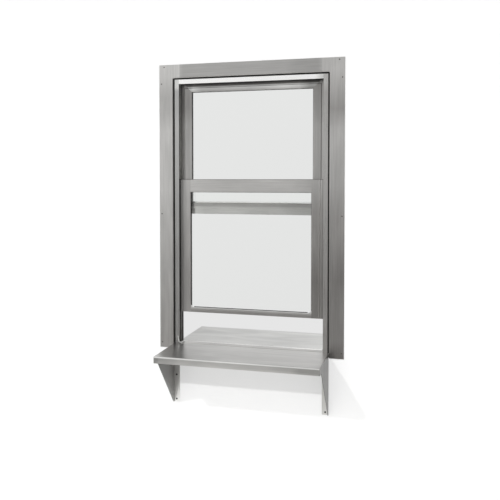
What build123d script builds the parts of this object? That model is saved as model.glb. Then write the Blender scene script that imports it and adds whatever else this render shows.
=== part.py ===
from build123d import *
import os

os.makedirs("parts", exist_ok=True)

# Pass-through hatch: a stainless steel window with a sash that slides up, set in a wall between a
# customer's side and a kitchen side, with a counter shelf on each.
# X runs across the window from its middle, Y runs through the wall from the wall's outer face
# towards the kitchen, and heights are measured up from the top of the counter shelf.

# Wall trim: sheet on the outer face of the wall, on three sides of the opening
trim_opening_width = 610.0
trim_opening_height = 1035.0
trim_stile_width = 56.0
trim_head_height = 52.0
trim_skirt = 17.0
trim_sheet = 2.0
trim_return = 16.0
trim_bend_radius = 3.0
trim_corner_radius = 4.0
trim_seam_offset = 28.0
trim_hole_radius = 2.5
side_hole_inset = 9.0
side_hole_from_foot = 20.0
side_hole_from_top = 73.0
head_hole_inset = 20.0
head_hole_drop = 8.5

# Window frame: jambs, head and sill folded from thinner sheet, standing inside the trim
frame_gap = 4.5
frame_setback = 3.0
frame_depth = 45.0
frame_sheet = 1.5
frame_bend_radius = 2.0
lip_width = 18.2
parting_lip_width = 16.5
sash_track = 21.0
sill_flange = 25.0

# Sash stop: the low strip across the sill that the sash comes down to
stop_height = 3.5
stop_depth = 30.0
stop_setback = 10.0
stop_end_gap = 1.0
stop_lip = 1.0
stop_crest = 2.0

# Black backer strip in the gap between the trim's return and the frame
backer_recess = 2.5

# Sections of both glazed panels: a raised face and a thinner tongue that stays in the track
face_setback = 12.3
tongue_width = 22.3
face_edge_radius = 2.5
glass_thickness = 6.0
gasket_setback = 3.0
gasket_front_wall = 3.0
gasket_wall = 1.5
gasket_reveal = 1.0
pocket_depth = 7.0

# Lower panel, the sash that slides; it stands part open
sash_raised_by = 125.0
sash_height = 518.6
sash_face_clearance = 5.5
sash_thickness = 14.5
sash_tongue_step = 3.0
sash_tongue_thickness = 7.0
sash_stile_width = 32.8
sash_top_rail_height = 49.6
sash_bottom_rail_height = 19.5

# Upper panel, which is fixed
lite_bottom = 508.6
lite_face_clearance = 5.5
lite_thickness = 16.0
lite_tongue_step = 3.0
lite_tongue_thickness = 8.0
lite_stile_width = 31.0
lite_top_rail_height = 17.0
lite_bottom_rail_height = 22.0
lite_bottom_tongue = 22.0

# Nylon glides on the sash, and setting blocks beside the upper panel
glide_length = 40.0
glide_overlap = 6.0
running_gap = 0.3
block_length = 50.0

# Counter shelf on the customer's side
shelf_depth = 203.0
shelf_sheet = 2.0
shelf_flange = 25.0
shelf_hem = 10.0
nosing_radius = 5.0
hem_radius = 3.0

# Brackets: the counter shelf's end plates, which run down the wall as gussets
bracket_height = 229.0
bracket_sheet = 2.0
bracket_front_setback = 30.0
bracket_foot = 8.0
bracket_tab = 8.0
bracket_flange = 25.0
bracket_bend_radius = 3.0
bracket_edge_radius = 1.5
bracket_corner_radius = 4.0
bracket_hole_radius = 2.5
bracket_hole_inset = 12.0
bracket_hole_low = 10.5
bracket_hole_pitch = 96.2

# Shelf on the kitchen side
inner_shelf_depth = 266.0
inner_shelf_end_gap = 1.0
inner_shelf_flange = 25.0
inner_shelf_hem = 12.0
inner_shelf_side_radius = 3.0

# The part's origin is the middle of the trim head's back, so a height above the shelf becomes a Z here
origin_height = trim_opening_height + trim_head_height / 2


def z(height):
    """Z of a point that lies this high above the counter shelf."""
    return height - origin_height


def save(piece, name):
    """Name a finished piece and write it."""
    piece.part.label = name
    export_step(piece.part, f"parts/{name}.step")


def save_pair(piece, name):
    """Write a piece of the right-hand side, and its mirror image for the left."""
    save(piece, f"{name}_right")
    with BuildPart() as twin:
        mirror(piece.part, about=Plane.YZ)
    save(twin, f"{name}_left")


# Places that several pieces share
trim_edge = trim_opening_width / 2
trim_outer = trim_edge + trim_stile_width
trim_top = trim_opening_height + trim_head_height
trim_height = trim_top + trim_skirt
frame_edge = trim_edge - frame_gap
frame_top = trim_opening_height - frame_gap
frame_front = frame_setback
frame_back = frame_front + frame_depth
web_inside = frame_edge - frame_sheet
head_inside = frame_top - frame_sheet
lip_edge = frame_edge - lip_width
parting_edge = frame_edge - parting_lip_width
lip_back = frame_front + frame_sheet
parting_front = lip_back + sash_track
parting_back = parting_front + frame_sheet
rear_lip_front = frame_back - frame_sheet
face_edge = lip_edge - face_setback
tongue_edge = face_edge + tongue_width
bracket_inside = trim_edge - bracket_sheet

# Wall trim: bent sheet with a return that lines the hole in the wall, welded and ground at two seams
return_end = trim_return - trim_sheet
side_hole_low = side_hole_from_foot - trim_skirt
side_hole_high = trim_top - side_hole_from_top
with BuildPart() as wall_trim:
    with BuildSketch(Plane.XZ) as sheet:
        with Locations((0, z(-trim_skirt))):
            Rectangle(2 * trim_outer, trim_height, align=(Align.CENTER, Align.MIN))
        for side in (-1, 1):
            for height in (side_hole_low, (side_hole_low + side_hole_high) / 2, side_hole_high):
                with Locations((side * (trim_outer - side_hole_inset), z(height))):
                    Circle(trim_hole_radius, mode=Mode.SUBTRACT)
            with Locations((side * (trim_outer - head_hole_inset), z(trim_top - head_hole_drop))):
                Circle(trim_hole_radius, mode=Mode.SUBTRACT)
    extrude(amount=trim_sheet)
    with BuildSketch(Plane.XZ.offset(-return_end)) as lining:
        with Locations((0, z(-trim_skirt))):
            Rectangle(
                trim_opening_width + 2 * trim_sheet,
                trim_opening_height + trim_skirt + trim_sheet,
                align=(Align.CENTER, Align.MIN),
            )
        fillet(lining.vertices().group_by(Axis.Y)[-1], trim_corner_radius + trim_sheet)
    extrude(amount=trim_return)
    with BuildSketch(Plane.XZ.offset(-return_end)) as opening:
        with Locations((0, z(-trim_skirt))):
            Rectangle(
                trim_opening_width,
                trim_opening_height + trim_skirt,
                align=(Align.CENTER, Align.MIN),
            )
        fillet(opening.vertices().group_by(Axis.Y)[-1], trim_corner_radius)
    extrude(amount=trim_return, mode=Mode.SUBTRACT)
    front_edges = wall_trim.faces().sort_by(Axis.Y)[0].edges()
    fillet(
        front_edges.filter_by(
            lambda edge: abs(edge.center().X) < trim_edge + trim_sheet
            and edge.center().Z < z(trim_opening_height + trim_sheet)
        ),
        trim_bend_radius,
    )

trim_seam = trim_edge - trim_seam_offset
with BuildPart() as trim_stile:
    add(wall_trim.part)
    split(bisect_by=Plane.YZ.offset(trim_seam), keep=Keep.TOP)
save_pair(trim_stile, "trim")

with BuildPart() as trim_head:
    add(wall_trim.part)
    split(bisect_by=Plane.YZ.offset(trim_seam), keep=Keep.BOTTOM)
    split(bisect_by=Plane.YZ.offset(-trim_seam), keep=Keep.TOP)
save(trim_head, "trim_head")

# Black backer strips: they close the gap between the trim's return and the frame
with BuildPart() as backer_side:
    with BuildSketch(Plane.XY.offset(z(0))):
        with Locations((frame_edge, backer_recess)):
            Rectangle(frame_gap, return_end - backer_recess, align=(Align.MIN, Align.MIN))
    extrude(amount=frame_top)
save_pair(backer_side, "backer")

with BuildPart() as backer_head:
    with BuildSketch(Plane.XZ.offset(-return_end)) as strip:
        with Locations((0, z(frame_top))):
            Rectangle(trim_opening_width, frame_gap, align=(Align.CENTER, Align.MIN))
        fillet(strip.vertices().group_by(Axis.Y)[-1], trim_corner_radius)
    extrude(amount=return_end - backer_recess)
save(backer_head, "backer_head")

# Jambs and head: a web with three lips, which leave a track in front for the sash and one behind
# for the upper panel
lips = (
    (frame_front, lip_edge, lip_width),
    (parting_front, parting_edge, parting_lip_width),
    (rear_lip_front, lip_edge, lip_width),
)
with BuildPart() as jamb:
    with BuildSketch(Plane.XY.offset(z(0))) as section:
        with Locations((web_inside, frame_front)):
            Rectangle(frame_sheet, frame_depth, align=(Align.MIN, Align.MIN))
        for lip_front, edge, width in lips:
            with Locations((edge, lip_front)):
                Rectangle(width, frame_sheet, align=(Align.MIN, Align.MIN))
        outer_corners = section.vertices().group_by(Axis.X)[-1]
        fillet([outer_corners.sort_by(Axis.Y)[0], outer_corners.sort_by(Axis.Y)[-1]], frame_bend_radius)
    extrude(amount=head_inside)
save_pair(jamb, "jamb")

with BuildPart() as frame_head:
    with BuildSketch(Plane.XY.offset(z(head_inside))):
        with Locations((0, frame_front)):
            Rectangle(2 * frame_edge, frame_depth, align=(Align.CENTER, Align.MIN))
    extrude(amount=frame_sheet)
    for lip_front, edge, width in lips:
        with BuildSketch(Plane.XY.offset(z(frame_top - width))):
            with Locations((0, lip_front)):
                Rectangle(2 * edge, frame_sheet, align=(Align.CENTER, Align.MIN))
        extrude(amount=width)
    bends = frame_head.faces().sort_by(Axis.Z)[-1].edges().filter_by(Axis.X)
    fillet(bends, frame_bend_radius)
save(frame_head, "frame_head")

# Sill: a channel that opens downwards under the jambs, level with both shelves
with BuildPart() as frame_sill:
    with BuildSketch(Plane.YZ.offset(-frame_edge)):
        with Locations((frame_front, z(0))):
            Rectangle(frame_depth, sill_flange, align=(Align.MIN, Align.MAX))
        with Locations((frame_front + frame_sheet, z(-frame_sheet))):
            Rectangle(
                frame_depth - 2 * frame_sheet,
                sill_flange,
                align=(Align.MIN, Align.MAX),
                mode=Mode.SUBTRACT,
            )
    extrude(amount=2 * frame_edge)
save(frame_sill, "frame_sill")

# Sash stop: a low ridge, folded along its crest
stop_front = frame_front + stop_setback
stop_back = stop_front + stop_depth
stop_middle = (stop_front + stop_back) / 2
stop_half = lip_edge - stop_end_gap
with BuildPart() as sill_stop:
    with BuildSketch(Plane.YZ.offset(-stop_half)):
        with BuildLine():
            Polyline(
                (stop_front, z(0)),
                (stop_front, z(stop_lip)),
                (stop_middle - stop_crest, z(stop_height)),
                (stop_middle, z(stop_height)),
                (stop_back, z(stop_lip)),
                (stop_back, z(0)),
                close=True,
            )
        make_face()
    extrude(amount=2 * stop_half)
save(sill_stop, "sill_stop")


def plate(front, thickness, half_width, bottom, top):
    """A flat plate that stands across the window, such as a glass pane."""
    with BuildPart() as flat:
        with BuildSketch(Plane.XZ.offset(-front - thickness)):
            with Locations((0, z(bottom))):
                Rectangle(2 * half_width, top - bottom, align=(Align.CENTER, Align.MIN))
        extrude(amount=thickness)
    return flat.part


gasket_thickness = gasket_front_wall + glass_thickness + gasket_wall


def panel_frame(front, thickness, face, tongue, tongue_front, tongue_thickness, sight):
    """A panel's welded frame: a raised face with bent edges, its tongue and the pocket for the glass.

    The face, tongue and sight outlines are each given as half width, bottom and top.
    """
    with BuildPart() as ring:
        add(plate(front, thickness, *face))
        add(plate(tongue_front, tongue_thickness, *tongue))
        add(plate(front, thickness, *sight), mode=Mode.SUBTRACT)
        fillet(ring.faces().sort_by(Axis.Y)[0].edges(), face_edge_radius)
        add(plate(front + gasket_setback, gasket_thickness, *grown(sight, pocket_depth)), mode=Mode.SUBTRACT)
    return ring.part


def grown(outline, amount):
    """An outline of half width, bottom and top, moved outwards on every side."""
    half_width, bottom, top = outline
    return half_width + amount, bottom - amount, top + amount


def glazing(front, sight, name):
    """Write the gasket of a panel and the glass that it holds."""
    gasket_front = front + gasket_setback
    glass_front = gasket_front + gasket_front_wall
    glass_outline = grown(sight, pocket_depth - gasket_wall)
    with BuildPart() as gasket:
        add(plate(gasket_front, gasket_thickness, *grown(sight, pocket_depth)))
        add(plate(gasket_front, gasket_thickness, *grown(sight, -gasket_reveal)), mode=Mode.SUBTRACT)
        add(plate(glass_front, glass_thickness, *glass_outline), mode=Mode.SUBTRACT)
    save(gasket, f"{name}_gasket")
    with BuildPart() as glass:
        add(plate(glass_front, glass_thickness, *glass_outline))
    save(glass, f"{name}_glass")


# Sash: stiles of full height with the tongue on their outer side, rails between them
sash_front = lip_back + sash_face_clearance
sash_top = sash_raised_by + sash_height
sash_sight = (
    face_edge - sash_stile_width,
    sash_raised_by + sash_bottom_rail_height,
    sash_top - sash_top_rail_height,
)
sash_tongue_front = sash_front + sash_tongue_step
sash_frame = panel_frame(
    sash_front,
    sash_thickness,
    (face_edge, sash_raised_by, sash_top),
    (tongue_edge, sash_raised_by, sash_top),
    sash_tongue_front,
    sash_tongue_thickness,
    sash_sight,
)
sash_seam = sash_sight[0]
sash_middle = sash_raised_by + sash_height / 2

with BuildPart() as sash_stile:
    add(sash_frame)
    split(bisect_by=Plane.YZ.offset(sash_seam), keep=Keep.TOP)
save_pair(sash_stile, "sash_stile")

for keep, name in ((Keep.TOP, "sash_top_rail"), (Keep.BOTTOM, "sash_bottom_rail")):
    with BuildPart() as sash_rail:
        add(sash_frame)
        split(bisect_by=Plane.YZ.offset(sash_seam), keep=Keep.BOTTOM)
        split(bisect_by=Plane.YZ.offset(-sash_seam), keep=Keep.TOP)
        split(bisect_by=Plane.XY.offset(z(sash_middle)), keep=keep)
    save(sash_rail, name)

glazing(sash_front, sash_sight, "sash")

# Nylon glides: clips at both ends of each tongue, a running gap away from the lips and the web
glide_front = lip_back + running_gap
glide_depth = parting_front - running_gap - glide_front
glide_edge = tongue_edge - glide_overlap
with BuildPart() as sash_glides:
    for height in (sash_raised_by, sash_top - glide_length):
        with BuildSketch(Plane.XY.offset(z(height))):
            with Locations((glide_edge, glide_front)):
                Rectangle(web_inside - running_gap - glide_edge, glide_depth, align=(Align.MIN, Align.MIN))
            with Locations((glide_edge, sash_tongue_front)):
                Rectangle(
                    glide_overlap,
                    sash_tongue_thickness,
                    align=(Align.MIN, Align.MIN),
                    mode=Mode.SUBTRACT,
                )
        extrude(amount=glide_length)
save_pair(sash_glides, "sash_glides")

# Upper panel: mitred frame with the tongue on all four sides
lite_front = parting_back + lite_face_clearance
lite_face_top = frame_top - lip_width - face_setback
lite_face_bottom = lite_bottom + lite_bottom_tongue
lite_sight = (
    face_edge - lite_stile_width,
    lite_face_bottom + lite_bottom_rail_height,
    lite_face_top - lite_top_rail_height,
)
lite_tongue_front = lite_front + lite_tongue_step
lite_frame = panel_frame(
    lite_front,
    lite_thickness,
    (face_edge, lite_face_bottom, lite_face_top),
    (tongue_edge, lite_bottom, lite_face_top + tongue_width),
    lite_tongue_front,
    lite_tongue_thickness,
    lite_sight,
)
lite_half, lite_sight_bottom, lite_sight_top = lite_sight

with BuildPart() as lite_stile:
    add(lite_frame)
    split(bisect_by=Plane((lite_half, 0, z(lite_sight_top)), z_dir=(1, 0, -1)), keep=Keep.TOP)
    split(bisect_by=Plane((lite_half, 0, z(lite_sight_bottom)), z_dir=(1, 0, 1)), keep=Keep.TOP)
save_pair(lite_stile, "lite_stile")

for name, height, up in (
    ("lite_top_rail", lite_sight_top, 1),
    ("lite_bottom_rail", lite_sight_bottom, -1),
):
    with BuildPart() as lite_rail:
        add(lite_frame)
        for side in (-1, 1):
            mitre = Plane((side * lite_half, 0, z(height)), z_dir=(-side, 0, up))
            split(bisect_by=mitre, keep=Keep.TOP)
    save(lite_rail, name)

glazing(lite_front, lite_sight, "lite")

# Setting blocks: clips that hold the upper panel's tongue in the middle of the rear track
lite_tongue_top = lite_face_top + tongue_width
with BuildPart() as lite_blocks:
    for height in (lite_bottom, lite_tongue_top - block_length):
        with BuildSketch(Plane.XY.offset(z(height))):
            with Locations((glide_edge, parting_back)):
                Rectangle(
                    web_inside - glide_edge,
                    rear_lip_front - parting_back,
                    align=(Align.MIN, Align.MIN),
                )
            with Locations((glide_edge, lite_tongue_front)):
                Rectangle(
                    glide_overlap,
                    lite_tongue_thickness,
                    align=(Align.MIN, Align.MIN),
                    mode=Mode.SUBTRACT,
                )
        extrude(amount=block_length)
save_pair(lite_blocks, "lite_blocks")

# Counter shelf: sheet with a rounded nosing, a front flange hemmed inwards and a back flange on the sill
shelf_length = 2 * bracket_inside
shelf_reach = shelf_depth + frame_front
tab_edge = trim_edge - bracket_tab
with BuildPart() as outer_shelf:
    with BuildSketch(Plane.YZ.offset(-bracket_inside)) as outline:
        with Locations((-shelf_depth, z(0))):
            Rectangle(shelf_reach, shelf_flange, align=(Align.MIN, Align.MAX))
        front_corners = outline.vertices().group_by(Axis.X)[0].sort_by(Axis.Y)
        fillet(front_corners[-1], nosing_radius)
        fillet(front_corners[0], hem_radius)
    extrude(amount=shelf_length)
    with BuildSketch(Plane.YZ.offset(-bracket_inside)) as hollow:
        with Locations((-shelf_depth + shelf_sheet, z(-shelf_sheet))):
            Rectangle(
                shelf_reach - 2 * shelf_sheet,
                shelf_flange - 2 * shelf_sheet,
                align=(Align.MIN, Align.MAX),
            )
        hollow_corners = hollow.vertices().group_by(Axis.X)[0].sort_by(Axis.Y)
        fillet(hollow_corners[-1], nosing_radius - shelf_sheet)
        fillet(hollow_corners[0], hem_radius - shelf_sheet)
        with Locations((-shelf_depth + shelf_hem, z(-shelf_flange / 2))):
            Rectangle(
                shelf_reach - shelf_hem - shelf_sheet,
                shelf_flange / 2,
                align=(Align.MIN, Align.MAX),
            )
    extrude(amount=shelf_length, mode=Mode.SUBTRACT)
    with BuildSketch(Plane.XY.offset(z(-nosing_radius))):
        for side in (-1, 1):
            with Locations((side * (tab_edge + bracket_inside) / 2, -shelf_depth)):
                Rectangle(bracket_inside - tab_edge, shelf_hem, align=(Align.CENTER, Align.MIN))
    extrude(amount=-shelf_flange, mode=Mode.SUBTRACT)
save(outer_shelf, "outer_shelf")

# Brackets: end plates with a tab folded round the shelf's front corner and a flange on the wall
wall_flange_height = bracket_height - shelf_flange - bracket_sheet
hole_low = -bracket_height + bracket_hole_low
with BuildPart() as bracket:
    with BuildSketch(Plane.YZ.offset(bracket_inside)) as side_view:
        with BuildLine():
            Polyline(
                (0, z(0)),
                (-shelf_depth, z(0)),
                (-shelf_depth, z(-shelf_flange)),
                (-shelf_depth + bracket_front_setback, z(-shelf_flange)),
                (-bracket_foot, z(-bracket_height)),
                (0, z(-bracket_height)),
                close=True,
            )
        make_face()
        fillet(side_view.vertices().group_by(Axis.X)[0].sort_by(Axis.Y)[-1], nosing_radius)
    extrude(amount=bracket_sheet)
    with BuildSketch(Plane.XY.offset(z(-shelf_flange))):
        with Locations((tab_edge, -shelf_depth)):
            Rectangle(bracket_tab, bracket_sheet, align=(Align.MIN, Align.MIN))
    extrude(amount=shelf_flange - nosing_radius)
    with BuildSketch(Plane.XZ) as wall_flange:
        with Locations((trim_edge, z(-bracket_height))):
            Rectangle(bracket_flange, wall_flange_height, align=(Align.MAX, Align.MIN))
        fillet(wall_flange.vertices().sort_by(Axis.Y)[:2].sort_by(Axis.X)[0], bracket_corner_radius)
        for height in (hole_low, hole_low + bracket_hole_pitch):
            with Locations((trim_edge - bracket_hole_inset, z(height))):
                Circle(bracket_hole_radius, mode=Mode.SUBTRACT)
    extrude(amount=bracket_sheet)
    outer_face = bracket.faces().sort_by(Axis.X)[-1]
    wall_bend = outer_face.edges().filter_by(Axis.Z).sort_by(Axis.Y)[-1]
    front_bend = outer_face.edges().filter_by(Axis.Z).sort_by(Axis.Y)[0]
    fillet(wall_bend, bracket_bend_radius)
    fillet(front_bend, bracket_edge_radius)
save_pair(bracket, "bracket")

# Kitchen shelf: a tray turned upside down, with its flanges hemmed inwards on three sides
inner_half = frame_edge - inner_shelf_end_gap
with BuildPart() as tray_hollow:
    with BuildSketch(Plane.XY.offset(z(-inner_shelf_flange + shelf_sheet))):
        with Locations((0, frame_back + shelf_sheet)):
            Rectangle(
                2 * (inner_half - shelf_sheet),
                inner_shelf_depth - 2 * shelf_sheet,
                align=(Align.CENTER, Align.MIN),
            )
    extrude(amount=inner_shelf_flange - 2 * shelf_sheet)
    hollow_top = tray_hollow.faces().sort_by(Axis.Z)[-1].edges()
    fillet(hollow_top.filter_by(Axis.X).sort_by(Axis.Y)[-1], nosing_radius - shelf_sheet)
    fillet(
        tray_hollow.faces().sort_by(Axis.Z)[-1].edges().filter_by(Axis.Y),
        inner_shelf_side_radius - shelf_sheet,
    )

with BuildPart() as inner_shelf:
    with BuildSketch(Plane.XY.offset(z(-inner_shelf_flange))):
        with Locations((0, frame_back)):
            Rectangle(2 * inner_half, inner_shelf_depth, align=(Align.CENTER, Align.MIN))
    extrude(amount=inner_shelf_flange)
    shelf_top_edges = inner_shelf.faces().sort_by(Axis.Z)[-1].edges()
    fillet(shelf_top_edges.filter_by(Axis.X).sort_by(Axis.Y)[-1], nosing_radius)
    fillet(
        inner_shelf.faces().sort_by(Axis.Z)[-1].edges().filter_by(Axis.Y),
        inner_shelf_side_radius,
    )
    add(tray_hollow.part, mode=Mode.SUBTRACT)
    with BuildSketch(Plane.XY.offset(z(-inner_shelf_flange))):
        with Locations((0, frame_back + shelf_sheet)):
            Rectangle(
                2 * (inner_half - inner_shelf_hem),
                inner_shelf_depth - shelf_sheet - inner_shelf_hem,
                align=(Align.CENTER, Align.MIN),
            )
    extrude(amount=shelf_sheet, mode=Mode.SUBTRACT)
save(inner_shelf, "inner_shelf")
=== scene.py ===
import math

import bpy
import numpy as np
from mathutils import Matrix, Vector


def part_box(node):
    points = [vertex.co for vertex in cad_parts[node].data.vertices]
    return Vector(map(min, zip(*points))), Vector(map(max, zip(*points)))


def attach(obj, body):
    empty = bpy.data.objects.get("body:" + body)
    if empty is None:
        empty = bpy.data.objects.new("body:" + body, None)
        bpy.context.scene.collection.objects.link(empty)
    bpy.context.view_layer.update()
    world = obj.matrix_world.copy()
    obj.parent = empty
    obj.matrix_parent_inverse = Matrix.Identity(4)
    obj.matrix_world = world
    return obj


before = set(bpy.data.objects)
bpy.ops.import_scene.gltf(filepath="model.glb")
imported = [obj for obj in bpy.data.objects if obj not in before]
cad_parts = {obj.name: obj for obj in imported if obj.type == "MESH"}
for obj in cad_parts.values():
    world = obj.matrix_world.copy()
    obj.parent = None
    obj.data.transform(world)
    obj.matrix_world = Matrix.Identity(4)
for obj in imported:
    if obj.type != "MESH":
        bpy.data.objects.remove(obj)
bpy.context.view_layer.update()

scene = bpy.context.scene
scene.view_settings.view_transform = "Standard"

# Camera
# The hatch is seen from the customer's side, a little from the right and from above the counter.
# The frame is shifted so that upright edges stay nearly upright, as a studio camera does.
camera_tilt = math.radians(90 - 1.83)
camera_turn = math.radians(14.95)
camera_data = bpy.data.cameras.new("camera")
camera_data.sensor_width = 36.0
camera_data.lens = 47.63
camera_data.shift_y = -0.10
camera = bpy.data.objects.new("camera", camera_data)
camera.location = (0.6494, -2.4160, -0.4159)
camera.rotation_euler = (camera_tilt, 0.0, camera_turn)
scene.collection.objects.link(camera)
scene.camera = camera

# Stage
# A white wall that the hatch is set into, with a hole the size of the window frame, over a pale
# floor. The wall is only there from the customer's side, so the back of the hatch stays in view.
shelf_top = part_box("outer_shelf")[1].z
wall_reach = 6.0
wall_face = 0.0004
hole_half = 0.308
hole_bottom = shelf_top - 0.026
hole_top = shelf_top + 1.038
floor_reach = 3.2
floor_height = shelf_top - 1.0


def linear(hex_colour):
    """Turns an sRGB hex colour into the linear numbers that a shader takes."""
    srgb = np.array([int(hex_colour[i:i + 2], 16) for i in (0, 2, 4)]) / 255
    low, high = srgb / 12.92, ((srgb + 0.055) / 1.055) ** 2.4
    return (*np.where(srgb <= 0.04045, low, high).tolist(), 1.0)


def add_node(tree, kind, inputs=None, **settings):
    """Adds a node to a tree, with its settings and with a value or a link for each named input."""
    made = tree.nodes.new(kind)
    for key, value in settings.items():
        setattr(made, key, value)
    for key, value in (inputs or {}).items():
        if isinstance(value, bpy.types.NodeSocket):
            tree.links.new(value, made.inputs[key])
        else:
            made.inputs[key].default_value = value
    return made


def new_tree(name):
    """Makes a material with an empty tree and gives both."""
    material = bpy.data.materials.new(name)
    material.use_nodes = True
    material.node_tree.nodes.clear()
    return material, material.node_tree


def mesh_piece(name, points, faces, smooth=True):
    """Makes an object at the origin from an array of points and a list of faces."""
    mesh = bpy.data.meshes.new(name)
    mesh.from_pydata(np.asarray(points, float).tolist(), [], faces)
    mesh.polygons.foreach_set("use_smooth", np.full(len(mesh.polygons), smooth))
    mesh.update()
    piece = bpy.data.objects.new(name, mesh)
    scene.collection.objects.link(piece)
    return piece


def paint(piece, material):
    """Gives a piece or a CAD node one material."""
    piece.data.materials.clear()
    piece.data.materials.append(material)


def backdrop_material(name, colour, glow):
    """A matt painted surface. What the camera, metal and glass see of it glows a little, so that it
    comes out white while it keeps the shadows, and it lights nothing more than paint does."""
    material, tree = new_tree(name)
    ray = add_node(tree, "ShaderNodeLightPath").outputs
    seen = add_node(tree, "ShaderNodeMath", {0: ray["Is Camera Ray"], 1: ray["Is Glossy Ray"]},
                    operation="MAXIMUM")
    seen = add_node(tree, "ShaderNodeMath", {0: seen.outputs[0], 1: ray["Is Transmission Ray"]},
                    operation="MAXIMUM")
    strength = add_node(tree, "ShaderNodeMath", {0: seen.outputs[0], 1: glow}, operation="MULTIPLY")
    matt = add_node(tree, "ShaderNodeBsdfDiffuse", {"Color": linear(colour)})
    glowing = add_node(tree, "ShaderNodeEmission", {
        "Color": linear("FFFFFF"), "Strength": strength.outputs[0]})
    both = add_node(tree, "ShaderNodeAddShader", {0: matt.outputs[0], 1: glowing.outputs[0]})
    facing = add_node(tree, "ShaderNodeNewGeometry")
    clear = add_node(tree, "ShaderNodeBsdfTransparent")
    shown = add_node(tree, "ShaderNodeMixShader", {0: facing.outputs["Backfacing"], 1: both.outputs[0],
                                                   2: clear.outputs[0]})
    add_node(tree, "ShaderNodeOutputMaterial", {"Surface": shown.outputs[0]})
    return material


# Four strips make the wall. They run between its own corners, the outer ring, and the hole's, the inner.
ring = np.array([(-1, 0), (1, 0), (1, 1), (-1, 1)], float)
outer_ring = np.stack([ring[:, 0] * wall_reach, np.full(4, wall_face),
                       floor_height + ring[:, 1] * 2 * wall_reach], axis=1)
inner_ring = np.stack([ring[:, 0] * hole_half, np.full(4, wall_face),
                       hole_bottom + ring[:, 1] * (hole_top - hole_bottom)], axis=1)
strip = np.arange(4)
next_strip = (strip + 1) % 4
wall = mesh_piece("stage_wall", np.concatenate([outer_ring, inner_ring]),
                  np.stack([strip, next_strip, next_strip + 4, strip + 4], axis=1).tolist(), smooth=False)
paint(wall, backdrop_material("white_wall_paint", "BCBCBC", glow=0.365))
floor_corners = np.stack([ring[:, 0] * wall_reach, (ring[:, 1] * 2 - 1) * floor_reach,
                          np.full(4, floor_height)], axis=1)
floor = mesh_piece("stage_floor", floor_corners, [[0, 1, 2, 3]], smooth=False)
paint(floor, backdrop_material("pale_floor", "E6E6E4", glow=0.1))

# Light
# The world is a soft room, brightest above the hatch and to its left. Behind the hatch the camera,
# metal and glass see it as pale grey, and in front the camera and glass do. Two lamps, on the left
# and in front, throw the shelf's shadows.
bright_way = (-0.6, 0.0, 1.2)
bright_reach = 0.6
bright_side = linear("FFFFFF")
dim_side = linear("6C6A68")
pale_grey = linear("E6E6E6")
world = bpy.data.worlds.new("room")
scene.world = world
world.use_nodes = True
room = world.node_tree
room.nodes.clear()

# The room's tone rises from the dim side's to the bright side's along bright_way.
direction = add_node(room, "ShaderNodeTexCoord").outputs["Generated"]
rise = add_node(room, "ShaderNodeVectorMath", {0: direction, 1: bright_way}, operation="DOT_PRODUCT")
rise = add_node(room, "ShaderNodeMapRange", {
    "Value": rise.outputs["Value"], "From Min": -bright_reach, "From Max": bright_reach},
    interpolation_type="SMOOTHSTEP")
surroundings = add_node(room, "ShaderNodeMix", {"Factor": rise.outputs[0], "A": dim_side, "B": bright_side},
                        data_type="RGBA")

# The camera's rays and those through glass meet pale grey all round, and mirrored ones behind the hatch.
ray = add_node(room, "ShaderNodeLightPath").outputs
depth = add_node(room, "ShaderNodeSeparateXYZ", {0: direction}).outputs["Y"]
behind = add_node(room, "ShaderNodeMapRange", {"Value": depth, "From Min": -0.02, "From Max": 0.1})
mirrored = add_node(room, "ShaderNodeMath", {0: ray["Is Glossy Ray"], 1: behind.outputs[0]},
                    operation="MULTIPLY")
direct = add_node(room, "ShaderNodeMath", {0: ray["Is Camera Ray"], 1: ray["Is Transmission Ray"]},
                  operation="MAXIMUM")
direct = add_node(room, "ShaderNodeMath", {0: direct.outputs[0], 1: mirrored.outputs[0]}, operation="MAXIMUM")
shown_room = add_node(room, "ShaderNodeMix", {
    "Factor": direct.outputs[0], "A": surroundings.outputs["Result"], "B": pale_grey}, data_type="RGBA")
background = add_node(room, "ShaderNodeBackground", {"Color": shown_room.outputs["Result"], "Strength": 1.0})
add_node(room, "ShaderNodeOutputWorld", {"Surface": background.outputs[0]})


def far_lamp(name, heading, strength):
    """A lamp far away whose light travels along heading, with edges as soft as a distant softbox gives.

    It throws shadows and lights matt surfaces. Metal and glass mirror the room and not the lamp, as
    behind a polarising filter, so that no face of the sheet glares."""
    lamp_data = bpy.data.lights.new(name, "SUN")
    lamp_data.energy = strength
    lamp_data.angle = math.radians(1.6)
    lamp = bpy.data.objects.new(name, lamp_data)
    lamp.visible_glossy = False
    lamp.visible_transmission = False
    lamp.rotation_euler = Vector(heading).to_track_quat("-Z", "Y").to_euler()
    scene.collection.objects.link(lamp)


far_lamp("left_lamp", heading=(0.68, 1.0, -1.05), strength=1.0)
far_lamp("front_lamp", heading=(0.0, 1.0, -0.643), strength=1.35)


# Wall trim
# Three strips of 2 mm stainless sheet round the opening, welded at the head and ground flush. They
# were polished along their length with a belt. Their greys by height hold painted reflection of the
# room. The trim is screwed to the wall near its outer edge.
def steel_grey(digits):
    """The linear numbers of a steel grey, whose two hex digits give its green. It is a little warm,
    and warmer where it is darker."""
    grey = int(digits, 16)
    return linear(f"{min(grey + (255 - grey) // 42, 255):02X}{grey:02X}{max(grey - 2, 0):02X}")


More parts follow.
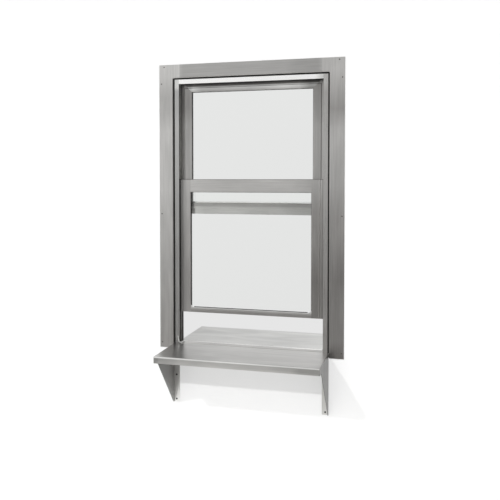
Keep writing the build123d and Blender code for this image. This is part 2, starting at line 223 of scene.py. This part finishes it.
def run_of_tones(tree, value, stops):
    """Colours that a value passes through, from (place, colour) stops with rising places."""
    margin = 0.001
    first = stops[0][0] - margin
    last = stops[-1][0] + margin
    place = add_node(tree, "ShaderNodeMapRange", {"Value": value, "From Min": first, "From Max": last})
    ramp = add_node(tree, "ShaderNodeValToRGB", {0: place.outputs[0]})
    elements = ramp.color_ramp.elements
    for _ in stops[2:]:
        elements.new(0.5)
    for element, (level, colour) in zip(elements, stops):
        element.position = (level - first) / (last - first)
        element.color = colour
    return ramp.outputs["Color"]


def brushed_steel(name, grain, tones, shades=(), roughness=0.34, drift=0.08, spacing=0.0033,
                  length=0.15, contrast=0.08):
    """Brushed stainless steel, which gives the eye a satin shine in soft streaks along its grain axis.

    tones are (height above the counter, grey) pairs from the lowest up. Besides the steel's grey they
    hold painted reflection and painted shade: bands lighter or darker by height where the room shines in
    the sheet or shade falls on it. Each of the shades is an axis and (place, factor) pairs that darken or
    brighten the steel along it, mostly as painted shade, painted highlight and painted reflection, and at
    the shelf's joints as dark lines. It may end with a second axis and (place, weight) pairs that say
    where it holds. drift is how far the tone wanders in clouds that are longer along the grain, which
    paint a mottled reflection of the room. The polishing lines are some 0.3 mm apart, too fine for the
    render, so streaks about ten times as wide or more are drawn: spacing is their width and length their
    length, and contrast how far they stand out."""
    cloud_length = 0.2
    cloud_width = 0.0625
    scratch_depth = 0.0002
    noise_low = 0.3
    noise_high = 0.7
    material, tree = new_tree(name)
    place = add_node(tree, "ShaderNodeTexCoord").outputs["Object"]
    streaks = add_node(tree, "ShaderNodeMapping", {
        "Vector": place, "Scale": [1.0 / (length if axis == grain else spacing) for axis in "XYZ"]})
    streaks = add_node(tree, "ShaderNodeTexNoise", {
        "Vector": streaks.outputs[0], "Scale": 1.0, "Detail": 3.0})
    clouds = add_node(tree, "ShaderNodeMapping", {
        "Vector": place, "Scale": [1.0 / (cloud_length if axis == grain else cloud_width) for axis in "XYZ"]})
    clouds = add_node(tree, "ShaderNodeTexNoise", {
        "Vector": clouds.outputs[0], "Scale": 1.0, "Detail": 4.0, "Distortion": 0.6})
    spot = add_node(tree, "ShaderNodeSeparateXYZ", {0: place}).outputs
    level = add_node(tree, "ShaderNodeMath", {0: spot["Z"], 1: shelf_top}, operation="SUBTRACT").outputs[0]
    places = {"X": spot["X"], "Y": spot["Y"], "Z": level}
    tone = run_of_tones(tree, level, [(height, steel_grey(grey)) for height, grey in tones])
    for axis, factors, *where in shades:
        shade = run_of_tones(tree, places[axis], [(at, (share, share, share, 1.0)) for at, share in factors])
        for other, weights in where:
            weight = run_of_tones(tree, places[other],
                                  [(at, (share, share, share, 1.0)) for at, share in weights])
            shade = add_node(tree, "ShaderNodeMix", {"Factor": weight, "A": linear("FFFFFF"), "B": shade},
                             data_type="RGBA").outputs["Result"]
        tone = add_node(tree, "ShaderNodeVectorMath", {0: tone, 1: shade}, operation="MULTIPLY").outputs[0]
    lines = add_node(tree, "ShaderNodeMapRange", {
        "Value": streaks.outputs["Fac"], "From Min": noise_low, "From Max": noise_high,
        "To Min": 1.0 - contrast, "To Max": 1.0 + contrast})
    wander = add_node(tree, "ShaderNodeMapRange", {
        "Value": clouds.outputs["Fac"], "From Min": noise_low, "From Max": noise_high,
        "To Min": 1.0 - drift, "To Max": 1.0 + drift})
    wear = add_node(tree, "ShaderNodeMath", {0: lines.outputs[0], 1: wander.outputs[0]}, operation="MULTIPLY")
    tone = add_node(tree, "ShaderNodeVectorMath", {0: tone, "Scale": wear.outputs[0]}, operation="SCALE")
    rough = add_node(tree, "ShaderNodeMapRange", {
        "Value": streaks.outputs["Fac"], "From Min": noise_low, "From Max": noise_high,
        "To Min": roughness - 0.05, "To Max": roughness + 0.05})
    relief = add_node(tree, "ShaderNodeBump", {
        "Height": streaks.outputs["Fac"], "Strength": 0.2, "Distance": scratch_depth})
    steel = add_node(tree, "ShaderNodeBsdfPrincipled", {
        "Base Color": tone.outputs[0], "Metallic": 1.0, "Roughness": rough.outputs[0],
        "Normal": relief.outputs[0]})
    add_node(tree, "ShaderNodeOutputMaterial", {"Surface": steel.outputs[0]})
    return material


# The side strips' greys by height are painted reflection: lighter where the bright room shines in them,
# darker low down, and darker all over on the right strip.
for name, tones in (
    ("trim_left", ((0.0, "9A"), (0.36, "BA"), (0.5, "BD"), (0.6, "CA"), (0.83, "C9"), (0.9, "B8"),
                   (0.96, "B5"), (1.04, "CA"))),
    ("trim_right", ((-0.01, "7E"), (0.05, "93"), (0.27, "8D"), (0.5, "A9"), (0.62, "BF"), (0.83, "C0"),
                    (0.9, "A0"), (1.05, "BE"))),
):
    paint(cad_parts[name], brushed_steel(f"brushed_{name}", "Z", tones))
# The head is drawn lighter at its ends than in its middle.
bright_corners = ("X", ((-0.33, 1.02), (-0.29, 0.88), (-0.262, 0.69), (0.14, 0.73), (0.18, 0.66),
                        (0.262, 0.63), (0.3, 0.88), (0.33, 1.0)))
paint(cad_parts["trim_head"], brushed_steel(
    "brushed_trim_head", "X", ((1.035, "CC"), (1.087, "CC")), shades=(bright_corners,), drift=0.05))

# Screw anchors
# Nylon anchors stand in the screw holes. Each is a moulded cup that is pressed into the wall. Those
# of the trim are grey with dust, and those of the brackets have a collar.
trim_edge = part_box("trim_right")[1].x
side_screw = trim_edge - 0.009
side_levels = (0.003, 0.5085, 1.014)
head_screw = trim_edge - 0.020
head_level = 1.0785
bracket_screw = 0.293
bracket_levels = (-0.2185, -0.1223)


def turned(name, centres, profile, steps=20):
    """Turned pieces in one mesh, each round an axis along Y through its centre.

    A profile point of radius r and depth d goes round as (r cos a, d, r sin a), and a flat face
    closes each end."""
    angle = np.arange(steps) * 2 * np.pi / steps
    radius, depth = np.asarray(profile, float).T[:, :, None]
    shape = np.stack([radius * np.cos(angle), depth + 0 * angle, radius * np.sin(angle)], axis=-1)
    points = (np.asarray(centres, float)[:, None, None, :] + shape).reshape(-1, 3)
    ring_of, step = np.meshgrid(np.arange(len(profile) - 1), np.arange(steps), indexing="ij")
    after = (step + 1) % steps
    quads = np.stack([ring_of * steps + step, ring_of * steps + after, (ring_of + 1) * steps + after,
                      (ring_of + 1) * steps + step], axis=-1).reshape(-1, 4)
    ends = [np.arange(steps)[::-1], (len(profile) - 1) * steps + np.arange(steps)]
    faces = []
    for start in range(0, len(points), len(profile) * steps):
        faces += (quads + start).tolist() + [(end + start).tolist() for end in ends]
    return mesh_piece(name, points, faces)


def moulded_matt(name, colour, dusty, roughness):
    """Matt moulded rubber, foam or nylon, which gives the eye an almost even dark tone. It has a fine
    grain from the mould, and dust greys it in patches."""
    dust_patch = 0.0167
    grain_width = 0.00067
    grain_depth = 0.0002
    material, tree = new_tree(name)
    place = add_node(tree, "ShaderNodeTexCoord").outputs["Object"]
    dust = add_node(tree, "ShaderNodeTexNoise", {"Vector": place, "Scale": 1 / dust_patch, "Detail": 4.0})
    grain = add_node(tree, "ShaderNodeTexNoise", {"Vector": place, "Scale": 1 / grain_width, "Detail": 2.0})
    tone = add_node(tree, "ShaderNodeMix", {
        "Factor": dust.outputs["Fac"], "A": linear(colour), "B": linear(dusty)}, data_type="RGBA")
    relief = add_node(tree, "ShaderNodeBump", {
        "Height": grain.outputs["Fac"], "Strength": 0.4, "Distance": grain_depth})
    matt = add_node(tree, "ShaderNodeBsdfPrincipled", {
        "Base Color": tone.outputs["Result"], "Roughness": roughness, "Normal": relief.outputs[0]})
    add_node(tree, "ShaderNodeOutputMaterial", {"Surface": matt.outputs[0]})
    return material


side_holes = [(side * side_screw, 0.0, shelf_top + level) for side in (-1, 1) for level in side_levels]
head_holes = [(side * head_screw, 0.0, shelf_top + head_level) for side in (-1, 1)]
bracket_holes = [(side * bracket_screw, 0.0, shelf_top + level)
                 for side in (-1, 1) for level in bracket_levels]
# A profile's points are (radius, depth) pairs from the end in the wall to the end in the cup.
cup = [(0.00248, 0.0078), (0.00248, -0.0016), (0.0023, -0.0018), (0.0020, -0.0016), (0.0018, 0.0001)]
collared_cup = [(0.00248, 0.0078), (0.00248, -0.00195), (0.0034, -0.00195), (0.0034, -0.0022),
                (0.0031, -0.0024), (0.0021, -0.0024), (0.0018, 0.0001)]
trim_anchors = turned("trim_anchors", side_holes + head_holes, cup)
bracket_anchors = turned("bracket_anchors", bracket_holes, collared_cup)
nylon = moulded_matt("black_nylon", "060606", dusty="0C0C0B", roughness=0.75)
dusty_nylon = moulded_matt("dusty_nylon", "4A4845", dusty="63605B", roughness=0.8)
for piece, material in ((trim_anchors, dusty_nylon), (bracket_anchors, nylon)):
    paint(piece, material)
    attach(piece, "frame")

# Gap strips and gaskets
# Black foam closes the gap between the trim and the window frame; its near black also paints the
# shade deep in the narrow gap. Black rubber channels line the panels' openings and grip the glass.
# The foam's near black is partly painted shade of the gap.
foam = moulded_matt("black_foam_and_gap_shade", "0B0A0A", dusty="1E1C1B", roughness=0.9)
for name in ("backer_left", "backer_right", "backer_head"):
    paint(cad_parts[name], foam)
gasket_rubber = moulded_matt("black_gasket_rubber", "151515", dusty="2A2928", roughness=0.55)
for name in ("sash_gasket", "lite_gasket"):
    paint(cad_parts[name], gasket_rubber)

# Window frame
# Jambs and head folded from 1.5 mm sheet, with the grain along each length, on a channel for a sill.
# The jambs' greys by height are painted reflection, the left jamb lit and the right one in shade. The
# left jamb is painted bright inside its tracks against the shade there, with its front lip at half that
# grey. The head is painted dark inside its tracks as painted shade, and its lip darker at its ends.
# The left jamb's front lip at half the grey of its tracks, whose raised greys are painted light against their
# shade.
front_lip = ("Y", ((0.0046, 0.5), (0.006, 1.0)), ("Z", ((0.985, 1.0), (1.0, 0.5))))
# Painted shade inside the head's tracks, behind its front lip.
painted_track_shade = ("Y", ((0.0046, 1.0), (0.006, 0.3), (0.03, 0.25)))
# The head's lip is painted darker at both ends, the right end most: painted reflection.
lip_ends = ("X", ((-0.284, 0.78), (-0.282, 1.0), (0.25, 1.0), (0.272, 0.7), (0.29, 0.58)))
for name, tones, shades in (
    ("jamb_left", ((0.0, "C4"), (0.15, "CE"), (0.5, "EA"), (0.6, "FA"), (0.7, "FF"), (0.85, "FF"),
                   (0.92, "F2"), (1.0, "F5")), (front_lip,)),
    ("jamb_right", ((0.0, "A0"), (0.1, "A7"), (0.2, "A1"), (0.5, "B4"), (0.68, "BB"), (0.85, "B7"),
                    (0.96, "AB"), (1.0, "BB")), ()),
):
    paint(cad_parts[name], brushed_steel(f"brushed_{name}", "Z", tones, shades, roughness=0.3,
                                              drift=0.06))
paint(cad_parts["frame_head"], brushed_steel(
    "brushed_frame_head", "X", ((1.0, "FF"), (1.03, "FF")), (lip_ends, painted_track_shade), roughness=0.28,
    drift=0.03))
sill_steel = brushed_steel("brushed_sill", "X", ((-0.02, "CF"), (0.01, "CF")), drift=0.12)
for name in ("frame_sill", "sill_stop"):
    paint(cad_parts[name], sill_steel)

# Sill bead
# A bead of weld across the sill, ground smooth and polished, which starts up the edge of the left jamb
# and then runs a little askew over the stop.
bead_turns = np.array([(-0.2875, 0.0020, 0.030), (-0.2865, 0.0018, 0.017), (-0.2845, 0.0018, 0.008),
                       (-0.2815, 0.0040, 0.0045), (-0.279, 0.014, 0.0016), (-0.2775, 0.028, 0.0),
                       (-0.273, 0.039, 0.0), (-0.262, 0.0415, 0.0), (0.281, 0.030, 0.0)])
turns_end = 0.1
turning_step = 0.0012
straight_steps = 220
stop_depths = (0.0125, 0.013, 0.026, 0.028, 0.043, 0.0435)
stop_heights = (0.0, 0.001, 0.0035, 0.0035, 0.001, 0.0)


def way_along(path):
    """How far along a path each of its points lies."""
    return np.concatenate([[0.0], np.cumsum(np.linalg.norm(np.diff(path, axis=0), axis=1))])


def walked(turns, steps):
    """The points met on a walk from turn to turn, at each step's distance from the start."""
    return np.stack([np.interp(steps, way_along(turns), turns[:, axis]) for axis in range(3)], axis=1)


def rounded_bar(name, path, radius, wobble, sides=14):
    """A bar of round section along a path, with domed ends.

    At each point of the path stand two directions across it, u and v, and the surface passes through
    point + r (u cos a + v sin a), where r is the radius with a wave of some 35 mm on it that comes and
    goes, and falls to almost nothing at both ends."""
    ripple = 180
    swell = 47
    travel = way_along(path)
    heading = np.gradient(path, travel, axis=0)
    heading /= np.linalg.norm(heading, axis=1)[:, None]
    u = np.cross(heading, (1.0, 1.0, 1.0))
    u /= np.linalg.norm(u, axis=1)[:, None]
    v = np.cross(heading, u)
    to_end = np.minimum(travel, travel[-1] - travel)
    girth = radius * (1 + wobble * np.sin(travel * ripple) * np.sin(travel * swell))
    girth = girth * np.sqrt(np.clip(1 - (1 - np.clip(to_end / radius, 0.02, 1.0)) ** 2, 0.0, 1.0))
    angle = np.arange(sides) * 2 * np.pi / sides
    spokes = u[:, None] * np.cos(angle)[None, :, None] + v[:, None] * np.sin(angle)[None, :, None]
    points = (path[:, None] + girth[:, None, None] * spokes).reshape(-1, 3)
    row, column = np.meshgrid(np.arange(len(path) - 1), np.arange(sides), indexing="ij")
    after = (column + 1) % sides
    quads = np.stack([row * sides + column, row * sides + after, (row + 1) * sides + after,
                      (row + 1) * sides + column], axis=-1).reshape(-1, 4).tolist()
    ends = [np.arange(sides)[::-1].tolist(), ((len(path) - 1) * sides + np.arange(sides)).tolist()]
    return mesh_piece(name, points, quads + ends)


# Steps are short where the bead turns. It lies on the sill stop, and deeper under the sash's tongue.
bead_steps = np.concatenate([np.arange(0.0, turns_end, turning_step),
                             np.linspace(turns_end, way_along(bead_turns)[-1], straight_steps)])
bead_path = walked(bead_turns, bead_steps)
stop_surface = np.interp(bead_path[:, 1], stop_depths, stop_heights)
above_stop = np.interp(bead_path[:, 0], (-0.274, -0.262), (-0.0008, 0.0005))
bead_path[:, 2] = np.maximum(bead_path[:, 2], stop_surface + above_stop) + shelf_top
bead_girth = np.interp(bead_path[:, 0], (-0.28, 0.0, 0.15), (0.0023, 0.0026, 0.0031))
sill_bead = rounded_bar("sill_bead", bead_path, bead_girth, wobble=0.05)
# The bead is drawn at the brightest grey and fades towards the left: painted highlight for its glint.
glint_fading_left = ("X", ((-0.28, 0.84), (0.1, 0.86), (0.2, 1.0)))
paint(sill_bead, brushed_steel("polished_weld_painted_glint", "X", ((-0.01, "FF"), (0.04, "FF")), shades=(glint_fading_left,),
                               roughness=0.15))
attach(sill_bead, "frame")

# Upper panel
# Folded stiles and rails with the grain along each length, welded at mitred corners and ground flush.
# Their lighter and darker bands are painted shade, painted highlight and painted reflection. A slim bead
# of polished steel lies along the bottom rail and holds the glass.
# The left stile is painted bright on its tongue against the shade in its track and painted darker beside the
# glass; the right stile's edge is painted lighter likewise.
left_edges = ("X", ((-0.28, 1.5), (-0.27, 1.25), (-0.264, 0.95), (-0.255, 0.78), (-0.245, 0.85),
                    (-0.241, 1.0)))
right_edges = ("X", ((0.24, 1.0), (0.262, 0.92), (0.271, 1.15)))
# top_glint and bottom_glint are painted highlights along the rails.
top_glint = ("X", ((-0.245, 0.8), (-0.235, 1.0), (-0.2, 0.72), (0.0, 0.74), (0.14, 1.0), (0.185, 0.95),
                   (0.225, 0.55)))
bottom_glint = ("X", ((-0.235, 1.35), (-0.19, 1.13), (-0.08, 1.14), (0.02, 1.02), (0.11, 1.0),
                      (0.2, 0.78)))
# Greys by height are painted reflection, and the top of the upper panel is painted dark as painted shade
# under the head's lip.
for name, grain, tones, shade in (
    ("lite_stile_left", "Z", ((0.5, "C8"), (0.85, "BE"), (0.92, "A2"), (0.95, "9E"), (1.0, "A4")),
     left_edges),
    ("lite_stile_right", "Z", ((0.5, "BA"), (0.85, "AF"), (1.0, "8F")), right_edges),
    ("lite_top_rail", "X", ((0.985, "C4"), (0.996, "E6"), (1.002, "E6"), (1.004, "9C"), (1.007, "84"),
                            (1.02, "84")), top_glint),
    ("lite_bottom_rail", "X", ((0.53, "C1"), (0.536, "BB"), (0.54, "A1"), (0.553, "9C")), bottom_glint),
):
    paint(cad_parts[name], brushed_steel(f"brushed_{name}", grain, tones, shades=(shade,)))

rail_low, rail_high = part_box("lite_bottom_rail")
lite_bead_radius = 0.0027
lite_bead_half = 0.2385
lite_bead_turns = np.array([(-lite_bead_half, rail_low.y + 0.0036, rail_high.z + 0.0021),
                            (lite_bead_half, rail_low.y + 0.0036, rail_high.z + 0.0021)])
lite_bead_path = walked(lite_bead_turns, np.linspace(0, 2 * lite_bead_half, 160))
lite_bead = rounded_bar("lite_bead", lite_bead_path, lite_bead_radius, wobble=0.03)
# The bead is drawn at the brightest grey, a painted highlight for the bright line along the rail.
paint(lite_bead, brushed_steel("polished_bead_painted_glint", "X", ((0.5, "FF"), (0.6, "FF")), roughness=0.26))
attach(lite_bead, "frame")

# Sash
# The same sections as the upper panel, with a deeper top rail, and butt joints that are ground away.
# The left stile's outer edge is painted dark as painted shade in its track, the right one's is painted
# bright against the shade there, and the top edge is painted dark, painted shade that dims the room's
# light mirrored in it. Greys by height are painted reflection, the bottom rail's top edge is painted
# lighter as painted highlight, and the top rail is painted darker towards the right.
for name, grain, tones, factors in (
    ("sash_stile_left", "Z", ((0.12, "A6"), (0.3, "A2"), (0.6, "BA"), (0.6405, "BC"), (0.642, "90"),
                              (0.6436, "60")), ((-0.272, 0.52), (-0.264, 0.77), (-0.25, 1.0))),
    ("sash_stile_right", "Z", ((0.12, "8A"), (0.26, "82"), (0.34, "93"), (0.52, "9E"), (0.6, "B0"),
                               (0.6405, "B8"), (0.642, "88"), (0.6436, "60")),
     ((0.264, 1.0), (0.268, 1.5), (0.272, 1.28), (0.276, 1.0), (0.28, 0.8))),
    ("sash_top_rail", "X", ((0.59, "B7"), (0.6, "C7"), (0.6405, "C7"), (0.642, "93"), (0.6436, "62")),
     ((-0.24, 1.0), (0.1, 1.02), (0.245, 0.88))),
):
    paint(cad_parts[name], brushed_steel(f"brushed_{name}", grain, tones, shades=(("X", factors),)))
paint(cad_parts["sash_bottom_rail"], brushed_steel(
    "brushed_sash_bottom_rail", "X", ((0.125, "A7"), (0.128, "99"), (0.134, "99"), (0.139, "B1"),
                                      (0.146, "B7"))))

# A slimmer bead lies along the bottom of the glass and turns up at both sides of it.
sight_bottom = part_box("sash_bottom_rail")[1].z
sash_bead_radius = 0.0018
sash_bead_turns = np.array([(-0.2365, 0.0125, 0.009), (-0.2365, 0.0122, 0.002), (-0.2345, 0.0120, 0.0),
                            (0.2345, 0.0120, 0.0), (0.2365, 0.0122, 0.002), (0.2365, 0.0125, 0.009)])
sash_bead_turns += (0.0, 0.0, sight_bottom - sash_bead_radius)
sash_bead_path = walked(sash_bead_turns, np.linspace(0, way_along(sash_bead_turns)[-1], 320))
sash_bead = rounded_bar("sash_bead", sash_bead_path, sash_bead_radius, wobble=0.03)
# The bead is painted brightest along its top: painted highlight.
paint(sash_bead, brushed_steel("polished_sash_bead_painted_glint", "X", ((0.14, "D6"), (0.148, "DC"), (0.151, "FF")),
                               roughness=0.3))
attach(sash_bead, "sash")

# Small bright folds close the bottom corners of the glass. Each sinks in a curve towards the middle.
fold_radius = 0.0024
fold_outer = 0.2352
fold_length = 0.0115
fold_drop = 0.0022
fold_height = sight_bottom + 0.0034
fold_depth = 0.0118
# The folds are drawn at the brightest grey, a painted highlight for the glints at the glass's corners.
bright_corner = brushed_steel("polished_corner_painted_glint", "X", ((0.14, "FF"), (0.16, "FF")), roughness=0.26)
share = np.linspace(0.0, 1.0, 24)
for side, name in ((-1, "sash_corner_left"), (1, "sash_corner_right")):
    corner_path = np.stack([side * (fold_outer - fold_length * share), np.full(len(share), fold_depth),
                            fold_height - fold_drop * share ** 2], axis=1)
    sash_corner = rounded_bar(name, corner_path, fold_radius, wobble=0.0)
    paint(sash_corner, bright_corner)
    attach(sash_corner, "sash")

# Glass
# Toughened float glass, 6 mm thick, held in the gaskets. It is clear, with faint smears a hand wide
# that blur what shines in it.
smear_width = 0.11
glass_material, glass_tree = new_tree("clear_float_glass")
glass_place = add_node(glass_tree, "ShaderNodeTexCoord").outputs["Object"]
smears = add_node(glass_tree, "ShaderNodeTexNoise", {
    "Vector": glass_place, "Scale": 1 / smear_width, "Detail": 4.0})
haze = add_node(glass_tree, "ShaderNodeMapRange", {
    "Value": smears.outputs["Fac"], "From Min": 0.5, "From Max": 0.8, "To Min": 0.0, "To Max": 0.02})
pane = add_node(glass_tree, "ShaderNodeBsdfPrincipled", {
    "Base Color": linear("FEFFFE"), "Roughness": haze.outputs[0], "IOR": 1.52, "Transmission Weight": 1.0})
add_node(glass_tree, "ShaderNodeOutputMaterial", {"Surface": pane.outputs[0]})
for name in ("sash_glass", "lite_glass"):
    paint(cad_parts[name], glass_material)

# Glides and setting blocks
# Black nylon, moulded with a fine grain. The glides ride with the sash in the front track, and the
# setting blocks stand under the upper panel in the rear one.
for name in ("sash_glides_left", "sash_glides_right", "lite_blocks_left", "lite_blocks_right"):
    paint(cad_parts[name], nylon)

# Counter shelf and brackets
# Folded from 2 mm sheet and welded between its end plates, which are the brackets. The joints at the
# plates stay as dark lines, and the top is darker at the left end and the front flange at both ends.
end_joint = ("X", ((-0.3036, 1.0), (-0.303, 0.3), (-0.3024, 1.0), (0.3024, 1.0), (0.303, 0.3),
                   (0.3036, 1.0)))
front_only = ("Z", ((-0.0055, 1.0), (-0.0045, 0.0)))
left_end = ("X", ((-0.3, 0.72), (-0.2, 0.80), (-0.05, 0.93), (0.1, 0.96), (0.3, 1.0)),
            ("Z", ((-0.001, 0.0), (-0.0002, 1.0))))
left_front = ("X", ((-0.297, 0.6), (-0.288, 0.64), (-0.285, 0.74), (-0.25, 0.8), (-0.2, 0.97), (-0.1, 1.0)),
              front_only)
right_front = ("X", ((0.2, 1.0), (0.235, 0.78)), front_only)
# The top is painted darker near the right jamb: painted shade.
right_back = ("X", ((0.262, 1.02), (0.285, 0.9)), ("Y", ((-0.09, 0.0), (-0.04, 1.0))))
# The nosing is painted bright as painted highlight, and the front flange below it darker than the top as
# painted reflection.
paint(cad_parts["outer_shelf"], brushed_steel(
    "brushed_shelf", "X", ((-0.027, "C6"), (-0.02, "C0"), (-0.0055, "B0"), (-0.0045, "D8"), (-0.0015, "D8"),
                           (-0.0005, "D2"), (0.0, "D2")),
    shades=(end_joint, left_end, left_front, right_front, right_back), drift=0.09, spacing=0.009, length=0.5,
    contrast=0.1))

# The brackets' plates are painted darker than their wall flanges, as painted shade on faces turned
# from the light, with their top and front edges kept lighter as painted highlight. The wall flanges are
# painted lighter towards the bottom, below the plates' painted shadow, and the front tabs are darker,
# the left one most.
for name, plate, tab, flange in (
    ("bracket_left", 0.27, 0.6, ((-0.229, "EE"), (-0.16, "CC"), (-0.03, "B4"))),
    ("bracket_right", 0.30, 0.8, ((-0.229, "CC"), (-0.03, "B4"))),
):
    end_plate = ("X", ((-0.3026, plate), (-0.302, 1.0), (0.302, 1.0), (0.3026, plate)),
                 ("Z", ((-0.0014, 1.0), (-0.0004, 0.0))), ("Y", ((-0.2018, 0.2), (-0.1998, 1.0))))
    front_tab = ("Y", ((-0.2018, tab), (-0.1998, 1.0)), ("Z", ((-0.0034, 1.0), (-0.0014, 0.0))))
    paint(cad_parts[name], brushed_steel(f"brushed_{name}", "Z", flange, shades=(end_plate, front_tab)))

# Kitchen shelf
# Folded from 2 mm sheet and fixed to the sill. Trays have scratched it in long streaks, its tone wanders
# more in clouds of painted reflection of the room, and it is darker to the left.
left_darkening = ("X", ((-0.3, 0.76), (-0.2, 0.85), (-0.1, 0.9), (0.0, 0.92), (0.3, 1.0)))
paint(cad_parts["inner_shelf"], brushed_steel(
    "brushed_inner_shelf", "X", ((-0.03, "E0"), (0.0, "E0")), shades=(left_darkening,), drift=0.12, spacing=0.009,
    length=0.5, contrast=0.06))
